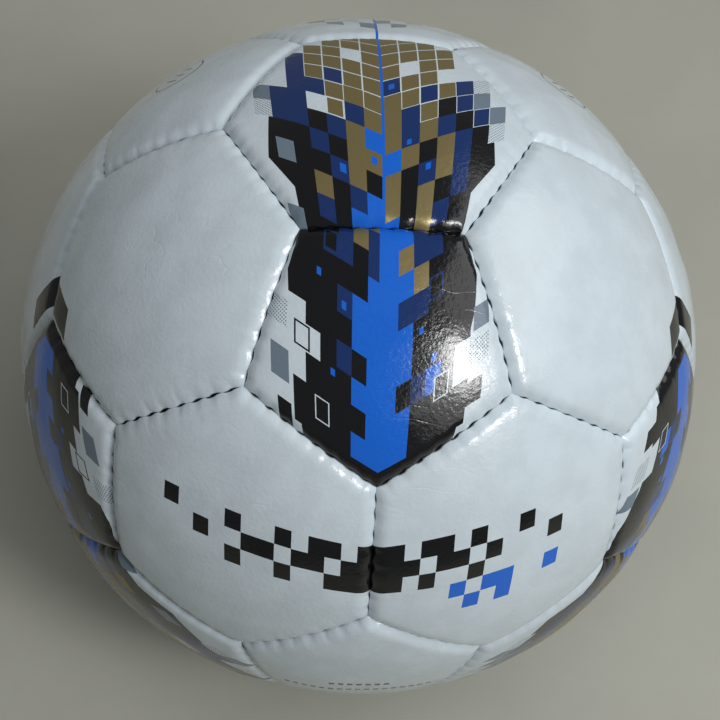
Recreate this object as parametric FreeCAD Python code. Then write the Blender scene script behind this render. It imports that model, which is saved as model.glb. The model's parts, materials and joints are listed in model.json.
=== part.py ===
"""A hand-stitched football of 32 panels round an inflated bladder, written as one STEP file per sub-part.

Millimetres, origin at the ball's centre. The front pentagon faces -Y and the valve pentagon faces +Y. Six
printed strips, each a hexagon and a pentagon, form a zigzag belt round the ball: strip 1 is on top, towards
+Z, and strip 2 is at the right, towards +X. A strip comes from a hub, the hexagon where three of them meet,
and its tip points to a plain pentagon.
"""
import FreeCAD, Part
import math
import os

from FreeCAD import Matrix, Placement, Vector

# ---- driving dimensions -------------------------------------------------------------------------
ball_circumference = 630.0
ball_radius = ball_circumference / (2 * math.pi)

cover_thickness = 1.6        # synthetic leather skin of a panel, with its foam backing
lining_thickness = 1.4       # woven layers glued behind the skin
seam_half_gap = 0.15         # each panel stands this far from the seam plane
flange_depth = 6.4           # how far a panel's turned-in edge reaches in from the outside
bend_radius = 2.8            # of the outside of the skin, where it turns in at a seam

stitches_per_seam = 8
stitch_depth = 4.6           # the row of stitches lies this far in from the outside
end_stitch_distance = 3.0    # from a seam's corner to its first stitch
thread_radius = 0.32
thread_sides = 6             # the waxed thread is a bar of this many sides
strand_share = 0.9           # a strand between two stitches is this much of the thread's radius
stitch_hole_clearance = 0.08
strand_clearance = 0.08      # between a strand and the lining that it lies along

bladder_clearance = 0.3      # between the bladder and the turned-in edges
bladder_thickness = 0.9
damping_thickness = 4.0      # foam glued inside the bladder, which deadens the bounce

valve_neck_radius = 4.0
valve_neck_recess = 0.8      # the neck's face lies this far in from the outside
valve_hole_clearance = 0.3
valve_tube_radius = 5.0      # the part of the boot that hangs inside the bladder
valve_tube_length = 12.0
valve_tube_clearance = 0.5   # between the tube and the damping foam
valve_floor_thickness = 1.5
valve_lip_length = 2.5       # the narrow mouth that keeps the plug in
valve_lip_radius = 2.0
valve_chamber_radius = 3.0
valve_exit_radius = 1.6      # the air hole in the boot's floor
valve_flange_radius = 11.0
valve_flange_thickness = 1.6
plug_clearance = 0.05
needle_channel_radius = 1.1
needle_channel_length = 9.0
plug_slit_width = 0.15
plug_slit_length = 3.0

valve_patch_radius = 13.0
valve_patch_thickness = 0.8
valve_patch_clearance = 0.6  # between the patch and the valve's neck

balance_patch_radius = 12.0
balance_patch_thickness = 1.6

# ---- sizes that follow --------------------------------------------------------------------------
lining_outer_radius = ball_radius - cover_thickness
lining_inner_radius = lining_outer_radius - lining_thickness
lining_bend_radius = bend_radius - cover_thickness
flange_tip_radius = ball_radius - flange_depth
bladder_outer_radius = flange_tip_radius - bladder_clearance
bladder_inner_radius = bladder_outer_radius - bladder_thickness
damping_inner_radius = bladder_inner_radius - damping_thickness
stitch_circle_radius = ball_radius - stitch_depth
stitch_hole_radius = thread_radius + stitch_hole_clearance
strand_radius = thread_radius * strand_share
strand_offset = seam_half_gap + cover_thickness + lining_thickness + strand_clearance + strand_radius
pin_reach = strand_offset + thread_radius
valve_face = ball_radius - valve_neck_recess
valve_lip_bottom = valve_face - valve_lip_length
valve_tube_bottom = bladder_inner_radius - valve_tube_length
valve_chamber_bottom = valve_tube_bottom + valve_floor_thickness
needle_channel_bottom = valve_face - needle_channel_length
beyond = 1.5 * ball_radius   # far enough to cut right through

ORIGIN = Vector(0, 0, 0)
X_AXIS, Y_AXIS, Z_AXIS = Vector(1, 0, 0), Vector(0, 1, 0), Vector(0, 0, 1)
FIFTH = 2 * math.pi / 5
RING_POLAR = math.atan(2)    # between neighbouring pentagon centres, from the icosahedron
CORNER_SHARE = 1 / 3         # a seam corner lies this far along the line between two of them
PLAIN_PENTAGONS = (          # in the order of the strips that point to them
    "front_pentagon", "plain_pentagon_1", "plain_pentagon_2",
    "valve_pentagon", "plain_pentagon_3", "plain_pentagon_4",
)
HEXAGON_KINDS = ("printed_hexagon", "left_tip_hexagon", "right_tip_hexagon", "hub_hexagon")


# ---- where the panels are -----------------------------------------------------------------------
def unit(v):
    return Vector(v).normalize()


def round_the_axis(polar, turn):
    """The direction at an angle from -Y, turned about Y from +Z towards +X, both in radians."""
    return Vector(math.sin(polar) * math.sin(turn), -math.cos(polar), math.sin(polar) * math.cos(turn))


def pentagon_belts():
    """The pentagon directions as the six printed ones in the belt's order, and the one each points to."""
    front, rear = round_the_axis(0, 0), round_the_axis(math.pi, 0)
    low = [round_the_axis(RING_POLAR, i * FIFTH) for i in range(5)]
    high = [round_the_axis(math.pi - RING_POLAR, (i + 0.5) * FIFTH) for i in range(5)]
    printed = [low[0], low[1], high[1], high[2], high[3], low[4]]
    pointed_to = [front, high[0], low[2], rear, low[3], high[4]]
    return printed, pointed_to


def pentagon_centres():
    """The twelve pentagon directions by name."""
    printed, pointed_to = pentagon_belts()
    centres = {f"printed_pentagon_{i + 1}": centre for i, centre in enumerate(printed)}
    centres.update(zip(PLAIN_PENTAGONS, pointed_to))
    return centres


def hexagon_sets():
    """The twenty hexagons by name, each as the three pentagon centres round it.

    The two beside a strip's tip are its left and right one as seen with the tip pointing down.
    """
    printed, pointed_to = pentagon_belts()
    hexagons = {
        "lower_hub_hexagon": tuple(pointed_to[0::2]),
        "upper_hub_hexagon": tuple(pointed_to[1::2]),
    }
    for i in range(6):
        before, after = (i - 1) % 6, (i + 1) % 6
        left, right = (before, after) if i % 2 == 0 else (after, before)
        hexagons[f"printed_hexagon_{i + 1}"] = (printed[i], pointed_to[before], pointed_to[after])
        hexagons[f"left_tip_hexagon_{i + 1}"] = (printed[i], pointed_to[i], printed[left])
        hexagons[f"right_tip_hexagon_{i + 1}"] = (printed[i], pointed_to[i], printed[right])
    return hexagons


def seam_corner(near, far):
    """The seam corner beside one pentagon centre, on the line to another."""
    return unit(near * (1 - CORNER_SHARE) + far * CORNER_SHARE)


def neighbours(centre, centres):
    """The five pentagon centres nearest to one, which comes first itself when they are sorted."""
    return sorted(centres.values(), key=lambda c: (c - centre).Length)[1:6]


def facing(axis, towards):
    """The placement that turns +Z to axis and +X towards a direction."""
    z = unit(axis)
    x = unit(towards - z * z.dot(towards))
    y = z.cross(x)
    return Placement(Matrix(x.x, y.x, z.x, 0, x.y, y.y, z.y, 0, x.z, y.z, z.z, 0, 0, 0, 0, 1))


def placed(shape, placement):
    copy = shape.copy()
    copy.Placement = placement
    return copy


# ---- one panel's outline, about +Z --------------------------------------------------------------
def corner_directions(sides):
    """The directions of a panel's corners, the first towards +X."""
    front = round_the_axis(0, 0)
    first, second = round_the_axis(RING_POLAR, 0), round_the_axis(RING_POLAR, FIFTH)
    centre = front if sides == 5 else unit(front + first + second)
    polar = seam_corner(front, first).getAngle(centre)
    out, up = math.sin(polar), math.cos(polar)
    turns = [2 * math.pi * i / sides for i in range(sides)]
    return [Vector(out * math.cos(t), out * math.sin(t), up) for t in turns]


def seam_frames(sides):
    """For each side of a panel: its middle direction, its way along and its inward normal."""
    corners = corner_directions(sides)
    frames = []
    for i, corner in enumerate(corners):
        following = corners[(i + 1) % sides]
        frames.append((unit(corner + following), unit(following - corner), unit(corner.cross(following))))
    return frames


def pyramid(sides, offset):
    """The space inside a panel's seam planes, moved in by offset."""
    inward = seam_frames(sides)[0][2]
    apex = Z_AXIS * (offset / Z_AXIS.dot(inward))
    base = [apex + corner * beyond for corner in corner_directions(sides)]
    faces = [Part.Face(Part.makePolygon(base + base[:1]))]
    for i, corner in enumerate(base):
        faces.append(Part.Face(Part.makePolygon([apex, corner, base[(i + 1) % sides], apex])))
    return Part.Solid(Part.Shell(faces))


def sphere(radius):
    """A ball whose poles and seam line keep clear of the +Z panel."""
    shape = Part.makeSphere(radius)
    shape.rotate(ORIGIN, X_AXIS, -90)
    return shape


def only_solid(shape):
    if len(shape.Solids) != 1:
        raise ValueError(f"expected one solid, got {len(shape.Solids)}")
    return shape.Solids[0]


# ---- panels -------------------------------------------------------------------------------------
def stitch_turns():
    """The angles of the stitches along a seam, from its middle."""
    corners = corner_directions(5)
    reach = corners[0].getAngle(corners[1]) / 2 - end_stitch_distance / stitch_circle_radius
    return [reach * (2 * i / (stitches_per_seam - 1) - 1) for i in range(stitches_per_seam)]


def stitch_holes(sides):
    """Cylinders through all the turned-in edges of a panel, where its stitches pass."""
    holes = []
    for middle, along, inward in seam_frames(sides):
        for turn in stitch_turns():
            place = (middle * math.cos(turn) + along * math.sin(turn)) * stitch_circle_radius
            holes.append(Part.makeCylinder(stitch_hole_radius, pin_reach, place, inward))
    return Part.makeCompound(holes)


def panel_block(sides, offset, radius):
    return pyramid(sides, offset).common(sphere(radius))


def rounded_block(sides, offset, radius, bend):
    """A panel's block with its outer rim rounded."""
    block = panel_block(sides, offset, radius)
    rim = [e for e in block.Edges if all(math.isclose(p.Length, radius) for p in e.discretize(5))]
    return block.makeFillet(bend, rim)


def turned_in_layer(outside, inside, sides):
    """A layer with turned-in edges and stitch holes: one block less the next one in."""
    layer = outside.cut(inside).cut(sphere(flange_tip_radius))
    return only_solid(layer.cut(stitch_holes(sides)))


def panel_layers(sides):
    """The synthetic leather skin of a panel, and the cloth behind it that is turned in with it."""
    behind_skin = seam_half_gap + cover_thickness
    outside = rounded_block(sides, seam_half_gap, ball_radius, bend_radius)
    between = rounded_block(sides, behind_skin, lining_outer_radius, lining_bend_radius)
    inside = panel_block(sides, behind_skin + lining_thickness, lining_inner_radius)
    return turned_in_layer(outside, between, sides), turned_in_layer(between, inside, sides)


def with_valve_hole(layer):
    """A pentagon layer with the round hole that the valve's neck passes through."""
    return only_solid(layer.cut(Part.makeCylinder(valve_neck_radius + valve_hole_clearance, beyond)))


# ---- stitching ----------------------------------------------------------------------------------
def cord(radius, start, end):
    """A straight piece of thread between two points near +Z, with flat sides."""
    way = unit(end - start)
    side = unit(way.cross(Z_AXIS))
    rise = side.cross(way)
    turns = [2 * math.pi * i / thread_sides for i in range(thread_sides)]
    ring = [start + (side * math.cos(t) + rise * math.sin(t)) * radius for t in turns]
    return Part.Face(Part.makePolygon(ring + ring[:1])).extrude(end - start)


def seam_thread():
    """One seam's saddle stitch, along Y across +Z: pins through the edges, and strands on both sides."""
    places = [Vector(0, math.sin(turn), math.cos(turn)) * stitch_circle_radius for turn in stitch_turns()]
    pieces = [cord(thread_radius, p - X_AXIS * pin_reach, p + X_AXIS * pin_reach) for p in places]
    for start, end in zip(places, places[1:]):
        for offset in (X_AXIS * strand_offset, X_AXIS * -strand_offset):
            pieces.append(cord(strand_radius, start + offset, end + offset))
    return only_solid(pieces[0].multiFuse(pieces[1:]))


def pentagon_seam_threads(thread, panel_places):
    """The threads of the five seams round each pentagon."""
    threads = []
    for place in panel_places:
        for middle, _, inward in seam_frames(5):
            turned = place.Rotation
            threads.append(placed(thread, facing(turned.multVec(middle), turned.multVec(inward))))
    return Part.makeCompound(threads)


def hexagon_seam_threads(thread, centres):
    """The threads of the seams between two hexagons, one on each line between neighbouring pentagons."""
    threads = []
    for centre in centres.values():
        for other in neighbours(centre, centres):
            if tuple(centre) < tuple(other):
                threads.append(placed(thread, facing(centre + other, centre.cross(other))))
    return Part.makeCompound(threads)


# ---- bladder and valve --------------------------------------------------------------------------
def cylinder_y(radius, low, high):
    """A cylinder on the valve's axis between two heights along +Y."""
    return Part.makeCylinder(radius, high - low, Vector(0, low, 0), Y_AXIS)


def dished_disc(inner_radius, thickness, radius):
    """A round patch about +Y that lies on a sphere."""
    disc = Part.makeSphere(inner_radius + thickness).common(cylinder_y(radius, 0, beyond))
    return disc.cut(Part.makeSphere(inner_radius))


def bladder():
    """The airtight rubber ball, with the hole that the valve's boot is moulded into."""
    wall = Part.makeSphere(bladder_outer_radius).cut(Part.makeSphere(bladder_inner_radius))
    return only_solid(wall.cut(cylinder_y(valve_tube_radius, 0, beyond)))


def damping_foam():
    """The soft layer inside the bladder, open round the valve's tube."""
    layer = Part.makeSphere(bladder_inner_radius).cut(Part.makeSphere(damping_inner_radius))
    return only_solid(layer.cut(cylinder_y(valve_tube_radius + valve_tube_clearance, 0, beyond)))


def valve_boot():
    """The rubber valve body: a neck through the panel, a flange on the bladder and a tube inside it."""
    flange = dished_disc(bladder_outer_radius, valve_flange_thickness, valve_flange_radius)
    neck = cylinder_y(valve_neck_radius, bladder_outer_radius, valve_face)
    tube = cylinder_y(valve_tube_radius, valve_tube_bottom, bladder_outer_radius + valve_flange_thickness / 2)
    body = flange.fuse(tube).fuse(neck)
    chamber = cylinder_y(valve_chamber_radius, valve_chamber_bottom, valve_lip_bottom)
    mouth = cylinder_y(valve_lip_radius, valve_lip_bottom, beyond)
    air_hole = cylinder_y(valve_exit_radius, 0, valve_chamber_bottom)
    return only_solid(body.cut(chamber).cut(mouth).cut(air_hole))


def valve_plug():
    """The soft plug in the boot: a channel for the needle, then a slit that it pushes through."""
    shoulder = valve_lip_bottom - plug_clearance
    body = cylinder_y(valve_chamber_radius - plug_clearance, valve_chamber_bottom + plug_clearance, shoulder)
    neck = cylinder_y(valve_lip_radius - plug_clearance, shoulder, valve_face)
    channel = cylinder_y(needle_channel_radius, needle_channel_bottom, beyond)
    slit_corner = Vector(-plug_slit_width / 2, 0, -plug_slit_length / 2)
    slit = Part.makeBox(plug_slit_width, needle_channel_bottom, plug_slit_length, slit_corner)
    return only_solid(body.fuse(neck).cut(channel).cut(slit))


def valve_patch():
    """The cloth ring glued under the valve pentagon's lining."""
    ring = dished_disc(lining_inner_radius - valve_patch_thickness, valve_patch_thickness, valve_patch_radius)
    return only_solid(ring.cut(cylinder_y(valve_neck_radius + valve_patch_clearance, 0, beyond)))


def balance_patch():
    """The rubber patch on the bladder opposite the valve, which balances its weight."""
    patch = dished_disc(bladder_outer_radius, balance_patch_thickness, balance_patch_radius)
    patch.rotate(ORIGIN, X_AXIS, 180)
    return only_solid(patch)


# ---- assembly -----------------------------------------------------------------------------------
def write(name, shape):
    shape.exportStep(os.path.join("parts", name + ".step"))


def write_pentagons(places):
    """Each pentagon's skin by name, and all their linings as one group."""
    cover, lining = panel_layers(5)
    linings = []
    for name, place in places.items():
        layers = (cover, lining)
        if name == "valve_pentagon":
            layers = (with_valve_hole(cover), with_valve_hole(lining))
        write(name, placed(layers[0], place))
        linings.append(placed(layers[1], place))
    write("pentagon_linings", Part.makeCompound(linings))


def write_hexagons(places):
    """Each hexagon's skin by name, and the linings of each kind as one group."""
    cover, lining = panel_layers(6)
    for name, place in places.items():
        write(name, placed(cover, place))
    for kind in HEXAGON_KINDS:
        linings = [placed(lining, place) for name, place in places.items() if kind in name]
        write(f"{kind}_linings", Part.makeCompound(linings))


def main():
    os.makedirs("parts", exist_ok=True)
    centres = pentagon_centres()
    pentagon_places = {
        name: facing(centre, neighbours(centre, centres)[0]) for name, centre in centres.items()
    }
    hexagon_places = {
        name: facing(a + b + c, seam_corner(a, b)) for name, (a, b, c) in hexagon_sets().items()
    }
    write_pentagons(pentagon_places)
    write_hexagons(hexagon_places)
    thread = seam_thread()
    write("pentagon_seam_threads", pentagon_seam_threads(thread, pentagon_places.values()))
    write("hexagon_seam_threads", hexagon_seam_threads(thread, centres))
    write("bladder", bladder())
    write("damping_foam", damping_foam())
    write("balance_patch", balance_patch())
    write("valve_boot", valve_boot())
    write("valve_plug", valve_plug())
    write("valve_patch", valve_patch())


main()
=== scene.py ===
"""The looks of a hand-stitched indoor football: skins, stitches, print and a plain studio."""
import json
import math

import bpy
import numpy as np
from bpy.props import FloatProperty, FloatVectorProperty, IntProperty, PointerProperty
from mathutils import Matrix


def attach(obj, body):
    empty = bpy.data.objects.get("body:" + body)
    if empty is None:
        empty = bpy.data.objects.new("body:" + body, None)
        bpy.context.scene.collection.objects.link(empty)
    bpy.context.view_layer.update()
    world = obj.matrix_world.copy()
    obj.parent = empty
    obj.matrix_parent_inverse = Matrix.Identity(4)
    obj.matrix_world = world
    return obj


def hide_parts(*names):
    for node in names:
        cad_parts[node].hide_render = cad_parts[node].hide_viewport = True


bl_info = {
    "name": "Hand-stitched indoor ball",
    "version": (1, 0, 0),
    "blender": (4, 5, 0),
    "location": "3D View > Sidebar > Ball",
    "description": "Builds the skins, stitches, print and studio of a hand-stitched indoor football",
    "category": "Object",
}

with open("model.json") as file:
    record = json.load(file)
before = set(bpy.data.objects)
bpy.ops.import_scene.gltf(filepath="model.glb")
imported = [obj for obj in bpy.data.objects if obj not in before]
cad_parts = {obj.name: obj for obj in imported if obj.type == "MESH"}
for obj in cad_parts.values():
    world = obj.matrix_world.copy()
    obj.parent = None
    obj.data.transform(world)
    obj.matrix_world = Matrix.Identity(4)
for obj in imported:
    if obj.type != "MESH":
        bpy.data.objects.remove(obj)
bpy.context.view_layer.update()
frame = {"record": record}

MM = 0.001
REST = next(m for m in frame["record"]["mounts"] if m["name"] == "rest_contact")
BALL_RADIUS = -REST["pos_m"][2] / MM          # millimetres, like every length worked out below
STITCHES = 8                                  # in each seam
END_STITCH = 3.2                              # from a seam's corner to its first stitch
VALVE_HOLE = 4.3                              # radius of the hole in the valve's panel
NEAR_SEAM = 8.0                               # the strip beside a seam where the mesh is fine
TURNED_IN = 6.0                               # how far a panel's edge reaches in from the outside
EDGE = 1.25                                   # thickness of that edge
SEED = 32                                     # of the differences from stitch to stitch

FIFTH = 2 * math.pi / 5
RING_POLAR = math.atan(2)                     # between the middles of two neighbouring pentagons
PLUS_Z = np.array([0.0, 0.0, 1.0])
PLAIN_PENTAGONS = (                           # in the order of the strips that point to them
    "front_pentagon", "plain_pentagon_1", "plain_pentagon_2",
    "valve_pentagon", "plain_pentagon_3", "plain_pentagon_4",
)


# ---- settings -----------------------------------------------------------------------------------
def length(name, description, millimetres, low=0.0, high=50.0):
    """A length setting, in metres as Blender keeps it."""
    return FloatProperty(
        name=name, description=description, default=millimetres * MM,
        min=low * MM, max=high * MM, precision=5, subtype="DISTANCE", unit="LENGTH",
    )


def colour(name, description, value):
    """A colour setting."""
    return FloatVectorProperty(
        name=name, description=description, default=value, min=0.0, max=1.0, size=3, subtype="COLOR"
    )


def power(name, description, watts):
    """A lamp's power setting."""
    return FloatProperty(name=name, description=description, default=watts, min=0.0, unit="POWER")


class BallShape(bpy.types.PropertyGroup):
    """The sizes of the skin's seams and stitches"""
    seam_depth: length("Seam depth", "How far a seam lies below the ball's outside", 1.45)
    shoulder: length("Shoulder width", "How far from a seam a panel starts to turn in", 3.7)
    crown: length("Crown", "How much a panel's middle stands above its shoulders", 0.42)
    pull: length("Stitch pull", "How far a stitch draws the skin in beside it", 0.42)
    opening: length("Stitch opening", "Half the width of the slit at a stitch", 0.23)
    slit: length("Slit length", "Half the length of the slit at a stitch", 1.25)
    lip: length("Lip", "Rounding of the skin's edge at a seam", 0.3)
    thread: length("Thread radius", "Radius of the waxed thread", 0.26)
    skin: length("Skin thickness", "Thickness of the skin", 1.1)
    steps: IntProperty(
        name="Steps along a seam", description="Mesh points on each seam", default=90, min=24, max=160
    )


class BallColours(bpy.types.PropertyGroup):
    """The colours of the inks, skin, thread and inner pieces"""
    white: colour("White", "The unprinted skin", (0.60, 0.685, 0.74))
    black: colour("Black", "Black ink", (0.003, 0.0035, 0.005))
    navy: colour("Navy", "Dark blue ink", (0.006, 0.027, 0.125))
    blue: colour("Blue", "Bright blue ink", (0.006, 0.125, 0.62))
    gold: colour("Gold", "Metallic ink", (0.27, 0.215, 0.095))
    grey: colour("Grey", "Grey ink", (0.155, 0.205, 0.26))
    thread: colour("Thread", "Waxed thread", (0.016, 0.013, 0.011))
    rubber: colour("Rubber", "Valve rubber", (0.012, 0.012, 0.013))
    cloth: colour("Cloth", "Lining cloth", (0.47, 0.44, 0.37))
    foam: colour("Foam", "Damping foam", (0.60, 0.52, 0.33))


class BallStage(bpy.types.PropertyGroup):
    """The floor's colour and the strength of the lights"""
    floor: colour("Floor", "Colour of the floor", (0.40, 0.40, 0.345))
    window: power("Window", "Power of the small bright window", 6.0)
    room: power("Room", "Power of the broad soft light", 8.0)
    overhead: power("Overhead", "Power of the light from above", 4.0)
    rear: power("Rear", "Power of the soft light from behind", 3.0)
    fill: FloatProperty(
        name="Fill", description="Strength of the light from all round", default=0.05, min=0.0
    )


# ---- where the panels are -----------------------------------------------------------------------
def unit(v):
    """Vectors of length 1 along the given ones."""
    return v / np.linalg.norm(v, axis=-1, keepdims=True)


def round_the_axis(polar, turn):
    """The direction at an angle from -Y, turned about Y from +Z towards +X."""
    return np.array([math.sin(polar) * math.sin(turn), -math.cos(polar), math.sin(polar) * math.cos(turn)])


def pentagon_belts():
    """The pentagon directions as the six printed ones in the belt's order, and the one each points to."""
    front, rear = round_the_axis(0, 0), round_the_axis(math.pi, 0)
    low = [round_the_axis(RING_POLAR, i * FIFTH) for i in range(5)]
    high = [round_the_axis(math.pi - RING_POLAR, (i + 0.5) * FIFTH) for i in range(5)]
    printed = [low[0], low[1], high[1], high[2], high[3], low[4]]
    pointed_to = [front, high[0], low[2], rear, low[3], high[4]]
    return printed, pointed_to


def seam_corner(near, far):
    """The seam corner beside one pentagon centre, a third of the way to another."""
    return unit(near * 2 + far)


class Panel:
    """One panel: its name, its three directions, and the planes and directions of its seams.

    Its print stands upright along a strip, away from the strip's tip.
    """

    def __init__(self, name, out, up, corners):
        self.name = name
        self.out = unit(out)
        self.right = unit(np.cross(up, self.out))
        self.up = np.cross(self.out, self.right)
        corners = np.array(corners)
        corners = corners[np.argsort(np.arctan2(corners @ self.up, corners @ self.right))]
        following = np.roll(corners, -1, axis=0)
        self.sides = len(corners)
        self.middle = unit(corners + following)
        self.along = unit(following - corners)
        self.inward = unit(np.cross(corners, following))
        flat = np.stack([corners @ self.right, corners @ self.up], 1) / (corners @ self.out)[:, None]
        self.flat_corners = flat * BALL_RADIUS
        self.reach = np.linalg.norm(self.flat_corners[0]) * math.cos(math.pi / self.sides)

    def directions(self, flat):
        """The directions from the ball's centre through points of the panel's flat pattern."""
        return unit(self.out * BALL_RADIUS + flat[..., :1] * self.right + flat[..., 1:] * self.up)


class Seams:
    """Every seam once, with the small differences of its hand-made stitches."""

    def __init__(self, panels):
        rng = np.random.default_rng(SEED)
        self.middle, self.along, self.inward = [], [], []
        self.on_panel = {}
        for panel in panels:
            rows = []
            for middle, along, inward in zip(panel.middle, panel.along, panel.inward):
                at = next((i for i, m in enumerate(self.middle) if m @ middle > 0.999), None)
                if at is None:
                    at = len(self.middle)
                    self.middle.append(middle)
                    self.along.append(along)
                    self.inward.append(inward)
                rows.append((at, 1.0 if self.along[at] @ along > 0 else -1.0))
            self.on_panel[panel.name] = rows
        self.middle, self.along, self.inward = map(np.array, (self.middle, self.along, self.inward))
        # the draws are one for each stitch, and where they say so one for each seam
        shape = (len(self.middle), STITCHES)
        half = BALL_RADIUS * seam_half_angle() - END_STITCH
        even = np.linspace(-half, half, STITCHES)
        self.place = even + rng.normal(0, 0.28, shape)
        one_each = (shape[0], 1)
        self.length = rng.uniform(0.85, 1.2, shape) * rng.uniform(0.85, 1.2, one_each)
        self.width = rng.uniform(0.75, 1.25, shape) * rng.uniform(0.65, 1.7, one_each)
        self.lean = rng.uniform(0.35, 0.65, shape)
        self.pull = rng.uniform(0.65, 1.3, shape)
        self.hairline = rng.uniform(0.0, 0.012, shape[0])
        self.depth = rng.uniform(0.85, 1.2, shape[0])
        self.phase = rng.uniform(0, 2 * math.pi, (shape[0], 2, 6))


def seam_half_angle():
    """Half the angle that a seam spans: half that between two corners on the line of two pentagon centres."""
    a, b = round_the_axis(RING_POLAR, 0), round_the_axis(0, 0)
    return math.acos(seam_corner(a, b) @ seam_corner(b, a)) / 2


def all_panels():
    """All 32 panels, in the order of the strips, and the two hubs last."""
    printed, pointed_to = pentagon_belts()
    centres = printed + pointed_to

    def pentagon(name, centre, up):
        near = sorted(centres, key=lambda c: -(c @ centre))[1:6]
        return Panel(name, centre, up, [seam_corner(centre, n) for n in near])

    def hexagon(name, trio, up):
        return Panel(name, sum(trio), up, [seam_corner(a, b) for a in trio for b in trio if a is not b])

    panels = []
    for i in range(6):
        before, after = (i - 1) % 6, (i + 1) % 6
        left, right = (before, after) if i % 2 == 0 else (after, before)
        printed_set = (printed[i], pointed_to[before], pointed_to[after])
        up = printed[i] - pointed_to[i]
        panels += [
            pentagon(f"printed_pentagon_{i + 1}", printed[i], up),
            pentagon(PLAIN_PENTAGONS[i], pointed_to[i], up),
            hexagon(f"printed_hexagon_{i + 1}", printed_set, unit(sum(printed_set)) - printed[i]),
            hexagon(f"left_tip_hexagon_{i + 1}", (printed[i], pointed_to[i], printed[left]), up),
            hexagon(f"right_tip_hexagon_{i + 1}", (printed[i], pointed_to[i], printed[right]), up),
        ]
    for name, first in (("lower_hub_hexagon", 0), ("upper_hub_hexagon", 1)):
        trio = tuple(pointed_to[first::2])
        panels.append(hexagon(name, trio, unit(sum(trio)) - printed[1 - first]))
    return panels


PANELS = all_panels()
SEAMS = Seams(PANELS)
WAVES = np.random.default_rng(SEED + 1)
BROAD_WAVES = (WAVES.normal(0, 1, (14, 3)) / 24.0, WAVES.uniform(0, 2 * math.pi, 14))
FOLD_WAVES = np.array([0.55, 0.9, 1.3, 1.85, 2.4, 3.1])   # radians for each millimetre of seam
FOLD_HEIGHT = 0.055
FOLD_START, FOLD_END = 0.8, 2.0               # where the folds rise and fade, from the seam
DIP_LENGTH, DIP_REACH = 1.15, 1.5             # of a stitch's dip, along the seam and away from it
CROWN_REACH = 9.0                             # how far from the seams the crown rises
WAVE_HEIGHT, WAVE_REACH = 0.1, 4.0            # of the slow waves, and where they set in
CORNER_BLEND = 0.6                            # how softly the distances to two seams meet


# ---- the skin's surface -------------------------------------------------------------------------
def ripple(points, waves):
    """A smooth random height, mostly between -1 and 1: sines of the place along random ways."""
    ways, phases = waves
    return np.sin(points @ ways.T * 2 * math.pi + phases).sum(-1) / math.sqrt(len(phases))


def slit_width(panel, side, s, shape):
    """How far the skin stands back from a seam at places s along it: a hairline, and at each stitch a
    half lens whose width falls off with the square of the distance from its middle."""
    at, way = SEAMS.on_panel[panel.name][side]
    centre = SEAMS.place[at] + way * SEAMS.lean[at]
    x = (s[..., None] - centre) / (shape.slit / MM * SEAMS.length[at])
    lens = np.clip(1 - x**2, 0, None) ** 0.8 * SEAMS.width[at] * shape.opening / MM
    return SEAMS.hairline[at] + lens.max(-1)


def skin_radius(panel, flat, shape):
    """The distance from the ball's centre to the skin's outside over points of the flat pattern.

    The ball's radius, less a shoulder that falls away near the seams by a power of what is left of its
    width, a broad crown that is a bell curve of the distance to them, a dip at each stitch, folds that
    run out from the seams, and slow random waves. The distance to the nearest seam is a soft minimum.
    """
    p = panel.directions(flat)
    from_seam = BALL_RADIUS * np.arcsin(p @ panel.inward.T)
    weight = np.exp(-from_seam / CORNER_BLEND)
    near = -CORNER_BLEND * np.log(weight.sum(-1))
    weight /= weight.sum(-1, keepdims=True)
    deep = np.zeros(flat.shape[:-1])
    dips = np.zeros_like(deep)
    folds = np.zeros_like(deep)
    for side in range(panel.sides):
        at, way = SEAMS.on_panel[panel.name][side]
        s = way * BALL_RADIUS * np.arctan2(p @ panel.along[side], p @ panel.middle[side])
        d = np.clip(from_seam[..., side], 0, None)
        deep += weight[..., side] * SEAMS.depth[at]
        x = (s[..., None] - SEAMS.place[at] - way * SEAMS.lean[at]) / DIP_LENGTH
        dips += (np.exp(-x**2) * SEAMS.pull[at]).sum(-1) * np.exp(-d / DIP_REACH)
        which = 0 if way > 0 else 1
        turns = SEAMS.phase[at, which]
        waves = np.sin(s[..., None] * FOLD_WAVES + turns).sum(-1) / 2.4
        folds += waves * np.exp(-d / FOLD_END) * (1 - np.exp(-d / FOLD_START))
    x = np.clip(1 - near / (shape.shoulder / MM), 0, 1.5)
    drop = shape.seam_depth / MM * deep * x**2.2
    drop += shape.crown / MM * np.exp(-((np.clip(near, 0, None) / CROWN_REACH) ** 2))
    drop += shape.pull / MM * dips - FOLD_HEIGHT * folds
    inside = 1 - np.exp(-np.clip(near, 0, None) / WAVE_REACH)
    return BALL_RADIUS - drop + inside * WAVE_HEIGHT * ripple(p * BALL_RADIUS, BROAD_WAVES)


def outline(panel, steps):
    """Points round a panel's corners in its flat pattern, with the seam and the place along it of each."""
    t = np.arange(steps) / steps
    start, end = panel.flat_corners, np.roll(panel.flat_corners, -1, axis=0)
    flat = start[:, None] + (end - start)[:, None] * t[None, :, None]
    p = panel.directions(flat)
    s = BALL_RADIUS * np.arctan2((p * panel.along[:, None]).sum(-1), (p * panel.middle[:, None]).sum(-1))
    return flat, s


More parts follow.
